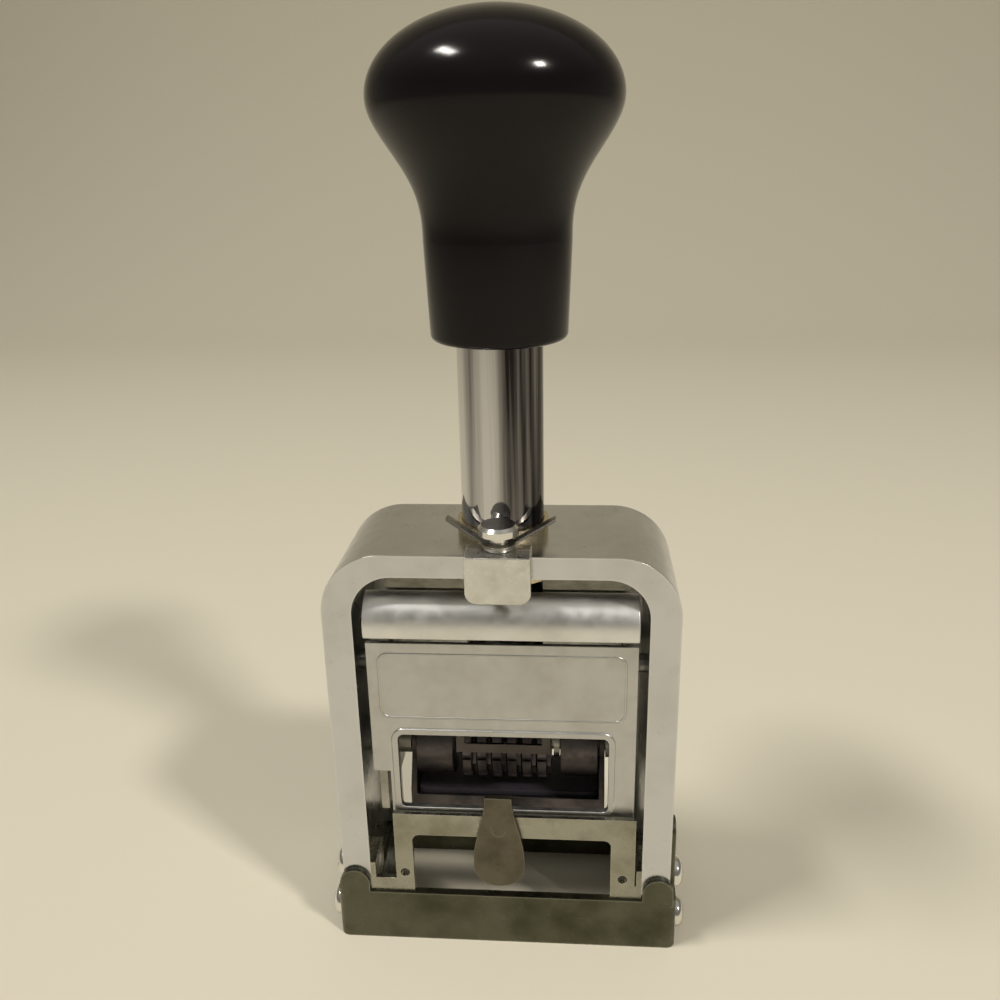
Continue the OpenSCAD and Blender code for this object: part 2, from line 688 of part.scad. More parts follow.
// ---- Axle and what turns on it ----
yoke_in = bank_x + 0.3;
yoke_t = 1;
drum_in = yoke_in + yoke_t + side_play;
collar_in = side_in - collar_l;
arm_in = collar_in - side_play - arm_t;
drum_out = arm_in - side_play;
module wheel_axle() color([0.6, 0.6, 0.6]) {
    rod_x(axle_r, -side_out, side_out, axle_y, axle_z);
    both_sides() rod_x(axle_r + 1, side_out - eps, side_out + 0.8, axle_y, axle_z);
}

// Tube on the axle
module sleeve(r, x0, x1) difference() {
    rod_x(r, x0, x1, axle_y, axle_z);
    rod_x(axle_r, x0 - 1, x1 + 1, axle_y, axle_z);
}
module axle_collars() color([0.5, 0.5, 0.48]) both_sides() sleeve(axle_r + 1.2, collar_in, side_in);
module blank_drums() color([0.09, 0.08, 0.09]) both_sides() sleeve(wheel_r - 0.4, drum_in, drum_out);

type_w = 3.4;
ratchet_r = wheel_r - 0.8;
module number_wheel(i) color([0.16, 0.14, 0.14])
    translate([(i - (wheels + 1) / 2) * wheel_pitch, axle_y, axle_z]) rotate([0, 90, 0]) {
    w = wheel_pitch - wheel_gap;
    difference() {
        union() {
            translate([0, 0, -w / 2]) cylinder(r = wheel_r - type_h, h = w - ratchet_w);
            intersection() {
                translate([0, 0, -w / 2 + 0.1]) cylinder(r = wheel_r, h = w - ratchet_w - 0.2);
                for (a = [0:36:144]) rotate(a) translate([-wheel_r - 1, -type_w / 2, -w / 2])
                    cube([2 * wheel_r + 2, type_w, w - ratchet_w]);
            }
            translate([0, 0, w / 2 - ratchet_w - eps]) linear_extrude(ratchet_w + eps)
                polygon([for (k = [0:9]) each [ratchet_r * [cos(36 * k), sin(36 * k)],
                    (ratchet_r - 1) * [cos(36 * k + 2), sin(36 * k + 2)]]]);
        }
        translate([0, 0, -w]) cylinder(r = axle_r + run_fit, h = 2 * w);
    }
}
module number_wheel_1() number_wheel(1);
module number_wheel_2() number_wheel(2);
module number_wheel_3() number_wheel(3);
module number_wheel_4() number_wheel(4);
module number_wheel_5() number_wheel(5);
module number_wheel_6() number_wheel(6);

// ---- Feed pawl and its swinging yoke ----
// Corners of the bridge and the pawl are a distance from the type or the pin, and an angle
pawl_a = 18;
yoke_r = wheel_r + 3.2;
pin_r = 0.7;
pin_at = wheel_r + 2.2;
yoke_from = pawl_a - 9;
yoke_to = pawl_a + 24;
yoke_bridge = [[1.4, 10], [2.6, 11], [2.6, 3], [1.4, 3]];
pin_y = axle_y + polar(pin_at, pawl_a)[0];
pin_z = axle_z + polar(pin_at, pawl_a)[1];
module pawl_yoke() color([0.6, 0.58, 0.5]) translate([0, axle_y, axle_z]) difference() {
    union() {
        for (x = [-yoke_in - yoke_t, yoke_in]) plate_x(x, x + yoke_t) {
            circle(axle_r + 1.3);
            polygon([[0, 0], polar(yoke_r, yoke_from), polar(yoke_r, yoke_to)]);
        }
        plate_x(-yoke_in - yoke_t, yoke_in + yoke_t)
            polygon([for (c = yoke_bridge) polar(wheel_r + c[0], yoke_to - c[1])]);
    }
    rod_x(axle_r + run_fit, -2 * yoke_in, 2 * yoke_in, 0, 0);
    rod_x(pin_r, -2 * yoke_in, 2 * yoke_in, pin_y - axle_y, pin_z - axle_z);
}

module pawl_pin() color([0.6, 0.6, 0.6]) rod_x(pin_r, -yoke_in - yoke_t, yoke_in + yoke_t, pin_y, pin_z);

finger_w = 0.5;
finger_gap = 0.3;
pawl_body = [[1.1, 4], [0.3, 15], [-0.5, 15], [-0.4, 4]];
ratchet_x = (wheel_pitch - wheel_gap - ratchet_w) / 2;
module feed_pawl() color([0.66, 0.64, 0.56]) difference() {
    union() {
        rod_x(pin_r + 0.6, -bank_x, bank_x, pin_y, pin_z);
        translate([0, axle_y, axle_z]) {
            plate_x(-bank_x, bank_x) polygon([for (c = pawl_body) polar(pin_at + c[0], pawl_a - c[1])]);
            for (i = [0:wheels - 1]) let (x = (i - (wheels - 1) / 2) * wheel_pitch + ratchet_x)
                plate_x(x - finger_w / 2, x + finger_w / 2)
                    polygon([polar(pin_at + 0.3, pawl_a - 14), polar(wheel_r + finger_gap + 0.5, pawl_a - 27),
                        polar(wheel_r + finger_gap, pawl_a - 26), polar(pin_at - 0.5, pawl_a - 14)]);
        }
    }
    rod_x(pin_r + run_fit, -bank_x - 1, bank_x + 1, pin_y, pin_z);
}

// ---- Ink pad and the tray that swings it clear ----
pad_gap = 0.3;
pad_fit = 0.05;
pad_top = -(wheel_r + pad_gap);
pad_low = pad_top - pad_t;
tray_low = pad_low - tray_t;
tray_y = pad_d / 2 + pad_fit + tray_t;
tray_x = max(arm_in, pad_l / 2 + 2 * pad_fit);
tray_wall_h = 1.5;
arm_w = 2.6;
module pad_tray() color([0.1, 0.1, 0.11]) translate([0, axle_y, axle_z]) {
    difference() {
        both_sides() plate_x(arm_in, arm_in + arm_t) {
            circle(axle_r + 1.6);
            polygon([[-arm_w, 0], [-tray_y, pad_top], [-tray_y, tray_low],
                [tray_y, tray_low], [tray_y, pad_top], [arm_w, 0]]);
        }
        rod_x(axle_r + run_fit, -arm_in - arm_t - 1, arm_in + arm_t + 1, 0, 0);
        block([-pad_l / 2 - pad_fit, -pad_d / 2 - pad_fit, pad_low],
            [pad_l / 2 + pad_fit, pad_d / 2 + pad_fit, pad_top + pad_fit]);
    }
    block([-tray_x, -tray_y, tray_low], [tray_x, tray_y, pad_low]);
    for (y = [-tray_y, tray_y - tray_t])
        block([-tray_x, y, pad_low - eps], [tray_x, y + tray_t, pad_low + tray_wall_h]);
}

module ink_pad() color([0.05, 0.04, 0.06]) translate([0, axle_y, axle_z])
    block([-pad_l / 2, -pad_d / 2, pad_low], [pad_l / 2, pad_d / 2, pad_top]);

frame_yoke();
foot();
front_gate();
gate_catch();
catch_pin();
side_screws();
foot_leaf();
guide_rails();
stem_bush();
spring_bar();
plunger_spring();
latch_plate();
latch_screw();
latch_spring();
knob();
stem_tube();
stem_plug();
crosshead_front();
crosshead_rear();
side_plate_left();
side_plate_right();
rolled_cover();
face_plate();
guard_bar();
rear_plate();
rear_screws();
detent_comb();
selector_dial();
selector_lever();
selector_screw();
wheel_axle();
axle_collars();
blank_drums();
number_wheel_1();
number_wheel_2();
number_wheel_3();
number_wheel_4();
number_wheel_5();
number_wheel_6();
pawl_yoke();
pawl_pin();
feed_pawl();
pad_tray();
ink_pad();
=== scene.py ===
import json
import math

import bmesh
import bpy
import numpy as np
from mathutils import Matrix, Vector

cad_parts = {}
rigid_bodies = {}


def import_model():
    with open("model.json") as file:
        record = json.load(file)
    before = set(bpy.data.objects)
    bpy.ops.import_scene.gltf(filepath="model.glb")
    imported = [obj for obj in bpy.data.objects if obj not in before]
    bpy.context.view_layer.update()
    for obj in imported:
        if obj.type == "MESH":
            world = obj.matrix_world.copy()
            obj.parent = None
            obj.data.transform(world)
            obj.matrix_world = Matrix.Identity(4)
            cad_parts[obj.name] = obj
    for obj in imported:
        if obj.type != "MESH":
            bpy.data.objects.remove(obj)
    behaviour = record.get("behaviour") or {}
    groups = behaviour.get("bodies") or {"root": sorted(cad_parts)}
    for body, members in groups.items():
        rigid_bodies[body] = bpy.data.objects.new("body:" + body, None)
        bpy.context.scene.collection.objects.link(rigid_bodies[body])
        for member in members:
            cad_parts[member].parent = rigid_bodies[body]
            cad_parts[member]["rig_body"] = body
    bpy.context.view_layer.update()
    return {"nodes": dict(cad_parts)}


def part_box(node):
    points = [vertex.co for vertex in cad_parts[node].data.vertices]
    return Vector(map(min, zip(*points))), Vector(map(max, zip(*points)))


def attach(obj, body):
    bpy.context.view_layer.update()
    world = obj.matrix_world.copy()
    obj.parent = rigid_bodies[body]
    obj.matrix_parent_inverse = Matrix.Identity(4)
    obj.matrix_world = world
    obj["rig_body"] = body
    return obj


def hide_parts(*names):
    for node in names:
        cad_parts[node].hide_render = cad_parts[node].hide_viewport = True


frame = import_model()
MM = 0.001


# ---- Bridge frame ----
# One nickel-plated casting shaped like a bridge: two legs and a flat top that the plunger passes
# through. The arrises are rubbed round in polishing, and the plate wears thin along them.
NICKEL = (0.66, 0.665, 0.69)
NICKEL_STAIN = (0.41, 0.41, 0.385)
NICKEL_EDGE = (0.80, 0.80, 0.80)
FRAME_ARRIS = 0.55 * MM


def metal(name, clean, stain_and_painted_reflection, edge, rough, patch=90.0, stain_and_painted_reflection_amount=0.45, scratch=0.12, arris=0.5 * MM, painted_reflection_stretch=1.0):
    """Plated or plain metal on Object coordinates. Two sizes of noise mix the clean colour with its stain and
    spread the roughness between its two values, a stretched noise is the polishing scratches, and the angle
    between the true normal and a rounded one picks out the arrises, where the plate is rubbed bright. On the
    stem the second colour is a painted reflection of a dark room rather than dirt, and on the foot both
    colours are darkened as painted reflection. A stretch value under one pulls the second colour out into
    streaks along Z, which on the stem are painted reflections."""
    mat = bpy.data.materials.new(name)
    mat.use_nodes = True
    nodes, links = mat.node_tree.nodes, mat.node_tree.links
    shader = nodes["Principled BSDF"]
    shader.inputs["Metallic"].default_value = 1.0
    place = nodes.new("ShaderNodeTexCoord").outputs["Object"]

    def noise(scale, detail, stretch=(1, 1, 1)):
        turn = nodes.new("ShaderNodeMapping")
        turn.inputs["Scale"].default_value = stretch
        links.new(place, turn.inputs["Vector"])
        grain = nodes.new("ShaderNodeTexNoise")
        grain.inputs["Scale"].default_value = scale
        grain.inputs["Detail"].default_value = detail
        links.new(turn.outputs["Vector"], grain.inputs["Vector"])
        return grain.outputs["Fac"]

    def spread(value, low, high, to_low, to_high):
        span = nodes.new("ShaderNodeMapRange")
        for socket, number in zip(("From Min", "From Max", "To Min", "To Max"), (low, high, to_low, to_high)):
            span.inputs[socket].default_value = number
        links.new(value, span.inputs["Value"])
        return span.outputs["Result"]

    def mixed(amount, first, second):
        mix = nodes.new("ShaderNodeMix")
        mix.data_type = "RGBA"
        links.new(amount, mix.inputs["Factor"])
        for socket, colour in (("A", first), ("B", second)):
            if isinstance(colour, tuple):
                mix.inputs[socket].default_value = (*colour, 1.0)
            else:
                links.new(colour, mix.inputs[socket])
        return mix.outputs["Result"]

    clouds = noise(patch, 6.0, (1.0, 1.0, painted_reflection_stretch))
    colour = mixed(spread(clouds, 0.42, 0.72, 0.0, stain_and_painted_reflection_amount), clean, stain_and_painted_reflection)
    if edge:
        geometry = nodes.new("ShaderNodeNewGeometry")
        rounded = nodes.new("ShaderNodeBevel")
        rounded.samples = 4
        rounded.inputs["Radius"].default_value = arris
        dot = nodes.new("ShaderNodeVectorMath")
        dot.operation = "DOT_PRODUCT"
        links.new(geometry.outputs["Normal"], dot.inputs[0])
        links.new(rounded.outputs["Normal"], dot.inputs[1])
        colour = mixed(spread(dot.outputs["Value"], 0.99, 0.90, 0.0, 0.6), colour, edge)
    links.new(colour, shader.inputs["Base Color"])
    links.new(spread(noise(patch * 4.0, 4.0), 0.3, 0.75, rough[0], rough[1]), shader.inputs["Roughness"])
    bump = nodes.new("ShaderNodeBump")
    bump.inputs["Strength"].default_value = scratch
    bump.inputs["Distance"].default_value = 0.05 * MM
    links.new(noise(900.0, 3.0, (1.0, 1.0, 0.12)), bump.inputs["Height"])
    links.new(bump.outputs["Normal"], shader.inputs["Normal"])
    return mat


def mesh_object(name, points, faces, material, smooth=True):
    """An object at the origin whose mesh holds these points, in metres, and faces."""
    mesh = bpy.data.meshes.new(name)
    mesh.from_pydata(np.asarray(points, float).tolist(), [], [list(map(int, face)) for face in faces])
    mesh.polygons.foreach_set("use_smooth", [smooth] * len(mesh.polygons))
    mesh.materials.append(material)
    mesh.update()
    piece = bpy.data.objects.new(name, mesh)
    bpy.context.scene.collection.objects.link(piece)
    return piece


def body_of(node):
    return frame["nodes"][node]["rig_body"]


def dressed(node, material, arris, turns=3):
    """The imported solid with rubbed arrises: a merged copy of its mesh, its flat faces joined up, every edge
    sharper than 35 degrees rounded by a bevel, and the normals weighted by face so that flats stay flat."""
    merged = bmesh.new()
    merged.from_mesh(frame["nodes"][node].data)
    bmesh.ops.remove_doubles(merged, verts=merged.verts, dist=1e-6)
    bmesh.ops.dissolve_limit(merged, angle_limit=math.radians(0.4), verts=merged.verts, edges=merged.edges)
    merged.verts.ensure_lookup_table()
    points = [v.co[:] for v in merged.verts]
    faces = [[v.index for v in f.verts] for f in merged.faces]
    merged.free()
    piece = mesh_object(node + "_skin", points, faces, material)
    piece.data.set_sharp_from_angle(angle=math.radians(35))
    rounding = piece.modifiers.new("rubbed arris", "BEVEL")
    rounding.width = arris
    rounding.segments = turns
    rounding.limit_method = "ANGLE"
    rounding.angle_limit = math.radians(35)
    piece.modifiers.new("flat faces", "WEIGHTED_NORMAL").keep_sharp = True
    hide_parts(node)
    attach(piece, body_of(node))
    return piece


def finish_node(node, material):
    """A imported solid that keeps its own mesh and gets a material."""
    slots = frame["nodes"][node].data.materials
    slots.clear()
    slots.append(material)


nickel = metal("nickel_plate", NICKEL, NICKEL_STAIN, NICKEL_EDGE, (0.16, 0.30), stain_and_painted_reflection_amount=0.35, arris=0.6 * MM)
dressed("frame_yoke", nickel, FRAME_ARRIS, turns=4)


# ---- Foot and its screws ----
# A shallow nickel-plated tray without a floor, which the legs stand in. It is handled and set down all day,
# so its plate is dull; its dark brown-green colour is painted reflection of a green box and of the
# machine's shadow on the table. Four domed screws hold it and the gate to the legs.
foot_metal_painted_reflection = metal("foot_plate_painted_reflection", (0.125, 0.125, 0.09), (0.052, 0.052, 0.03), (0.33, 0.33, 0.26),
                   (0.22, 0.42), patch=110.0, stain_and_painted_reflection_amount=0.9, scratch=0.3)
bright = metal("bright_plate", (0.80, 0.79, 0.76), (0.55, 0.52, 0.45), None, (0.10, 0.22), stain_and_painted_reflection_amount=0.3)
dressed("foot", foot_metal_painted_reflection, 0.35 * MM)
dressed("foot_leaf", foot_metal_painted_reflection, 0.12 * MM)
dressed("side_screws", bright, 0.12 * MM)


# ---- Front gate and its catch ----
# The gate is a stamped frame of two posts and a rail. The pear-shaped catch hangs on it by one pin,
# and years of fingers have worn the catch down to brown metal.
worn_nickel = metal("worn_gate_plate", (0.38, 0.37, 0.31), (0.19, 0.175, 0.12), (0.62, 0.60, 0.51),
                    (0.2, 0.4), patch=160.0, stain_and_painted_reflection_amount=0.7, scratch=0.2, arris=0.25 * MM)
finger_worn = metal("finger_worn_catch", (0.15, 0.135, 0.10), (0.075, 0.066, 0.046), (0.36, 0.33, 0.27),
                    (0.34, 0.5), patch=220.0, stain_and_painted_reflection_amount=0.7, scratch=0.35, arris=0.25 * MM)
dressed("front_gate", worn_nickel, 0.15 * MM)
dressed("gate_catch", finger_worn, 0.18 * MM)
finish_node("catch_pin", finger_worn)


# ---- Guide rails, bush, spring bar and spring ----
# Plain drawn steel and a thin brass bush. They sit in the shadow of the frame and carry old oil.
steel = metal("plain_steel", (0.50, 0.49, 0.46), (0.25, 0.23, 0.19), None, (0.28, 0.45), patch=200.0)
brass = metal("bush_brass", (0.66, 0.57, 0.38), (0.36, 0.29, 0.18), None, (0.2, 0.35), patch=200.0)
spring_steel = metal("spring_steel", (0.36, 0.34, 0.30), (0.18, 0.16, 0.13), (0.6, 0.57, 0.5), (0.25, 0.4),
                     patch=300.0, arris=0.15 * MM)
for name in ("guide_rails", "spring_bar"):
    finish_node(name, steel)
finish_node("stem_bush", brass)
finish_node("plunger_spring", spring_steel)


# ---- Latch ----
# A folded strip under a spool-headed screw. Its tab hooks over the cover when the plunger is down, and
# a bow of spring steel with two raised wings keeps it where it is put.
dressed("latch_plate", metal("latch_plate_nickel", (0.76, 0.755, 0.73), (0.50, 0.48, 0.42),
                             (0.87, 0.86, 0.82), (0.24, 0.42), patch=260.0, stain_and_painted_reflection_amount=0.5,
                             scratch=0.25, arris=0.2 * MM),
        0.16 * MM)
dressed("latch_screw", bright, 0.18 * MM)
dressed("latch_spring", spring_steel, 0.06 * MM)


# ---- Knob ----
# Turned hardwood under a thick black lacquer, pressed on the stem. A straight neck swells into a round
# head. The lacquer has a deep gloss with a fine ripple, and is rubbed a little duller under the palm.
KNOB_LOW, KNOB_HIGH = (corner.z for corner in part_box("knob"))
KNOB_FOOT_R = 10.4 * MM
KNOB_NECK_R = 10.95 * MM
KNOB_HEAD_R = 18.2 * MM
KNOB_NECK_H = 14.4 * MM
KNOB_CROWN = 11.6 * MM
KNOB_EDGE = 1.0 * MM
KNOB_SWELL = 1.37
KNOB_BLACK = (0.0035, 0.0025, 0.003)
KNOB_SHEEN = (0.009, 0.006, 0.008)


def turned(name, radius, height, material, around=128):
    """A closed solid of revolution about the Z axis: the profile's radii and heights, from pole to pole, are
    carried round the axis on a grid, and each end closes on one pole."""
    angle = np.linspace(0.0, 2.0 * np.pi, around, endpoint=False)
    ring = np.stack([np.outer(radius, np.cos(angle)), np.outer(radius, np.sin(angle)),
                     np.repeat(height[:, None], around, 1)], 2)
    points = np.concatenate([ring[1:-1].reshape(-1, 3), ring[:1, 0], ring[-1:, 0]])
    rows = len(radius) - 2
    row, column = np.meshgrid(np.arange(rows - 1), np.arange(around), indexing="ij")
    after = (column + 1) % around
    sides = np.stack([row * around + column, row * around + after,
                      (row + 1) * around + after, (row + 1) * around + column], 2).reshape(-1, 4)
    turn = np.arange(around)
    following = (turn + 1) % around
    low_cap = np.stack([following, turn, np.full(around, rows * around)], 1)
    top = (rows - 1) * around
    high_cap = np.stack([top + turn, top + following, np.full(around, rows * around + 1)], 1)
    return mesh_object(name, points, sides.tolist() + low_cap.tolist() + high_cap.tolist(), material)


def knob_profile():
    """Radii and heights: a flat foot with a rolled edge, a neck that swells as the square of a sine, and a
    crown that is a quarter of an ellipse."""
    roll = np.radians(np.linspace(-90.0, 0.0, 9))
    t = np.linspace(0.0, 1.0, 60)
    swell = np.sin(np.pi / 2.0 * t ** KNOB_SWELL) ** 2
    wide = KNOB_HIGH - KNOB_CROWN
    crown = np.radians(np.linspace(0.0, 90.0, 40)[1:])
    radius = np.concatenate([[0.0, KNOB_FOOT_R - 3.0 * MM], KNOB_FOOT_R - KNOB_EDGE * (1 - np.cos(roll)),
                             KNOB_NECK_R + (KNOB_HEAD_R - KNOB_NECK_R) * swell, KNOB_HEAD_R * np.cos(crown)])
    height = np.concatenate([[KNOB_LOW, KNOB_LOW], KNOB_LOW + KNOB_EDGE * (1 + np.sin(roll)),
                             KNOB_LOW + KNOB_NECK_H + (wide - KNOB_LOW - KNOB_NECK_H) * t,
                             wide + KNOB_CROWN * np.sin(crown)])
    radius[-1] = 0.0
    return radius, height


def lacquer():
    """Black lacquer over wood: a near-black base under a clear coat, roughness spread by noise, a slow ripple
    and fine specks of dust in the bump."""
    mat = bpy.data.materials.new("black_lacquer")
    mat.use_nodes = True
    nodes, links = mat.node_tree.nodes, mat.node_tree.links
    shader = nodes["Principled BSDF"]
    shader.inputs["IOR"].default_value = 1.47
    shader.inputs["Specular IOR Level"].default_value = 0.24
    place = nodes.new("ShaderNodeTexCoord").outputs["Object"]
    ripple = nodes.new("ShaderNodeTexNoise")
    ripple.inputs["Scale"].default_value = 70.0
    ripple.inputs["Detail"].default_value = 2.0
    specks = nodes.new("ShaderNodeTexNoise")
    specks.inputs["Scale"].default_value = 1800.0
    for grain in (ripple, specks):
        links.new(place, grain.inputs["Vector"])
    tint = nodes.new("ShaderNodeMix")
    tint.data_type = "RGBA"
    tint.inputs["A"].default_value = (*KNOB_BLACK, 1.0)
    tint.inputs["B"].default_value = (*KNOB_SHEEN, 1.0)
    links.new(ripple.outputs["Fac"], tint.inputs["Factor"])
    links.new(tint.outputs["Result"], shader.inputs["Base Color"])
    rough = nodes.new("ShaderNodeMapRange")
    rough.inputs["To Min"].default_value = 0.07
    rough.inputs["To Max"].default_value = 0.22
    links.new(ripple.outputs["Fac"], rough.inputs["Value"])
    links.new(rough.outputs["Result"], shader.inputs["Roughness"])
    mix = nodes.new("ShaderNodeMath")
    mix.operation = "MULTIPLY_ADD"
    mix.inputs[1].default_value = 0.12
    links.new(specks.outputs["Fac"], mix.inputs[0])
    links.new(ripple.outputs["Fac"], mix.inputs[2])
    bump = nodes.new("ShaderNodeBump")
    bump.inputs["Strength"].default_value = 0.1
    bump.inputs["Distance"].default_value = 0.3 * MM
    links.new(mix.outputs["Value"], bump.inputs["Height"])
    links.new(bump.outputs["Normal"], shader.inputs["Normal"])
    return mat


knob = turned("knob_lacquered", *knob_profile(), lacquer())
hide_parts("knob")
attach(knob, body_of("knob"))


# ---- Stem ----
# A bright plated tube, polished round its axis. Its near-black streaks along Z are painted reflections of a
# dark room, not stains. A plug closes its top and screws into the knob.
stem_chrome_painted_reflections = metal("stem_chrome_painted_reflections", (0.62, 0.61, 0.62), (0.022, 0.018, 0.018), None, (0.04, 0.11), patch=190.0,
                    stain_and_painted_reflection_amount=1.6, scratch=0.05, painted_reflection_stretch=0.02)
dressed("stem_tube", stem_chrome_painted_reflections, 0.2 * MM)
finish_node("stem_plug", steel)


# ---- Carriage ----
# Two side plates joined by crossheads under the stem, closed at the front by a stamped face plate with a
# window and a rolled cover above it. The face plate is bare but for a pressed border.
inner_steel = metal("carriage_steel", (0.46, 0.45, 0.41), (0.20, 0.19, 0.15), None, (0.3, 0.5), patch=180.0,
                    stain_and_painted_reflection_amount=0.7)
face_metal = metal("face_plate_nickel", (0.57, 0.57, 0.565), (0.42, 0.41, 0.37), (0.78, 0.77, 0.74),
                   (0.30, 0.46), patch=140.0, stain_and_painted_reflection_amount=0.45, scratch=0.2, arris=0.2 * MM)
roll_metal = metal("rolled_cover_nickel", (0.80, 0.80, 0.80), (0.58, 0.57, 0.53), (0.88, 0.87, 0.85),
                   (0.34, 0.50), patch=120.0, stain_and_painted_reflection_amount=0.4, scratch=0.12)
for name in ("crosshead_front", "crosshead_rear", "side_plate_left", "side_plate_right"):
    finish_node(name, inner_steel)
dressed("rolled_cover", roll_metal, 0.2 * MM)
dressed("face_plate", face_metal, 0.12 * MM)
# The guard bar is rubbed bright along its front, up to this height, and its lugs above it are near-black.
GUARD_DARK_ABOVE = 38.3 * MM
guard = dressed("guard_bar", bright, 0.1 * MM)
guard.data.materials.append(metal("guard_lug_near_black", (0.10, 0.09, 0.085), (0.04, 0.035, 0.03), None,
                                  (0.3, 0.5)))
for face in guard.data.polygons:
    face.material_index = int(face.center.z > GUARD_DARK_ABOVE)
dressed("rear_plate", face_metal, 0.2 * MM)
dressed("rear_screws", bright, 0.12 * MM)
finish_node("detent_comb", spring_steel)

BORDER_IN = 1.9 * MM
BORDER_R = 1.6 * MM
BORDER_WIRE = 0.24 * MM
BORDER_LOW = 43.4 * MM
BORDER_SUNK = 0.42 * MM


def swept_bead(name, path, radius, material, sides=10):
    """A closed bead: a circle of the given radius carried round a closed path in the X and Z plane, turned to
    stay square to the path."""
    ahead = np.roll(path, -1, 0) - np.roll(path, 1, 0)
    ahead /= np.linalg.norm(ahead, axis=1)[:, None]
    out = np.stack([ahead[:, 2], np.zeros(len(path)), -ahead[:, 0]], 1)
    angle = np.linspace(0.0, 2.0 * np.pi, sides, endpoint=False)
    up = np.array([0.0, -1.0, 0.0])
    points = (path[:, None] + radius * (np.cos(angle)[None, :, None] * out[:, None]
                                        + np.sin(angle)[None, :, None] * up)).reshape(-1, 3)
    i, j = np.meshgrid(np.arange(len(path)), np.arange(sides), indexing="ij")
    ni, nj = (i + 1) % len(path), (j + 1) % sides
    faces = np.stack([i * sides + j, i * sides + nj, ni * sides + nj, ni * sides + j], 2).reshape(-1, 4)
    return mesh_object(name, points, faces, material)


def rounded_loop(x0, x1, z0, z1, r, y, steps=9):
    """Points round a rectangle with round corners, anticlockwise seen from the front."""
    corners = [(x1 - r, z0 + r, -90), (x1 - r, z1 - r, 0), (x0 + r, z1 - r, 90), (x0 + r, z0 + r, 180)]
    arcs = [np.stack([cx + r * np.cos(a), np.full(steps, y), cz + r * np.sin(a)], 1)
            for cx, cz, start in corners for a in [np.radians(np.linspace(start, start + 90, steps))]]
    return np.concatenate(arcs)


face_lo, face_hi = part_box("face_plate")
loop = rounded_loop(face_lo.x + BORDER_IN, face_hi.x - BORDER_IN, BORDER_LOW, face_hi.z - BORDER_IN, BORDER_R,
                    face_lo.y + BORDER_SUNK)
border = swept_bead("face_border", loop, BORDER_WIRE, face_metal)
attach(border, body_of("face_plate"))


# ---- Selector dial ----
# A nickel disc with plain figures round it and a pointer lever on a shouldered screw, on the rear plate.
DIAL_MARKS = ("0", "1", "2", "3", "4", "6", "12")
DIAL_SWEEP = 25.0
FIGURE_H = 1.7 * MM
FIGURE_DEPTH = 0.12 * MM
FIGURE_FROM_RIM = 1.5 * MM


def figure(text, height, depth):
    """Points and faces of one solid figure, centred on the origin, standing along Y and facing +Z."""
    curve = bpy.data.curves.new("figure", "FONT")
    curve.body = text
    curve.align_x = "CENTER"
    curve.align_y = "CENTER"
    curve.resolution_u = 2
    curve.extrude = 0.5
    holder = bpy.data.objects.new("figure", curve)
    bpy.context.scene.collection.objects.link(holder)
    bpy.context.view_layer.update()
    mesh = holder.evaluated_get(bpy.context.evaluated_depsgraph_get()).to_mesh()
    points = np.array([v.co[:] for v in mesh.vertices])
    faces = [list(f.vertices) for f in mesh.polygons]
    bpy.data.objects.remove(holder)
    points[:, :2] -= (points[:, :2].max(0) + points[:, :2].min(0)) / 2.0
    points[:, :2] *= height / np.ptp(points[:, 1])
    points[:, 2] *= depth
    return points, faces


def joined(parts):
    """One point list and one face list for several shapes."""
    start = np.cumsum([0] + [len(points) for points, _ in parts[:-1]])
    return (np.concatenate([points for points, _ in parts]),
            [[int(s + v) for v in face] for s, (_, faces) in zip(start, parts) for face in faces])


def facing_out(piece):
    """Merges doubles and turns every face of a closed piece outwards."""
    work = bmesh.new()
    work.from_mesh(piece.data)
    bmesh.ops.remove_doubles(work, verts=work.verts, dist=1e-7)
    bmesh.ops.recalc_face_normals(work, faces=work.faces)
    work.to_mesh(piece.data)
    work.free()
    return piece


ink_black = metal("figure_black", (0.05, 0.045, 0.04), (0.02, 0.02, 0.02), None, (0.4, 0.6), scratch=0.0)
ink_black.node_tree.nodes["Principled BSDF"].inputs["Metallic"].default_value = 0.0
dial_lo, dial_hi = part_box("selector_dial")
dial_middle = (dial_lo + dial_hi) / 2.0
marks = []
for count, text in enumerate(DIAL_MARKS):
    angle = math.radians((count - (len(DIAL_MARKS) - 1) / 2.0) * DIAL_SWEEP)
    points, faces = figure(text, FIGURE_H, FIGURE_DEPTH)
    across, along, out = points.T
    reach = (dial_hi.x - dial_lo.x) / 2.0 - FIGURE_FROM_RIM + along
    marks.append((np.stack([dial_middle.x - reach * math.sin(angle) - across * math.cos(angle),
                            dial_hi.y + out,
                            dial_middle.z + reach * math.cos(angle) - across * math.sin(angle)], 1), faces))
dial_figures = facing_out(mesh_object("dial_figures", *joined(marks), ink_black, smooth=False))
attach(dial_figures, body_of("selector_dial"))
dressed("selector_dial", roll_metal, 0.12 * MM)
dressed("selector_lever", bright, 0.12 * MM)
dressed("selector_screw", bright, 0.12 * MM)


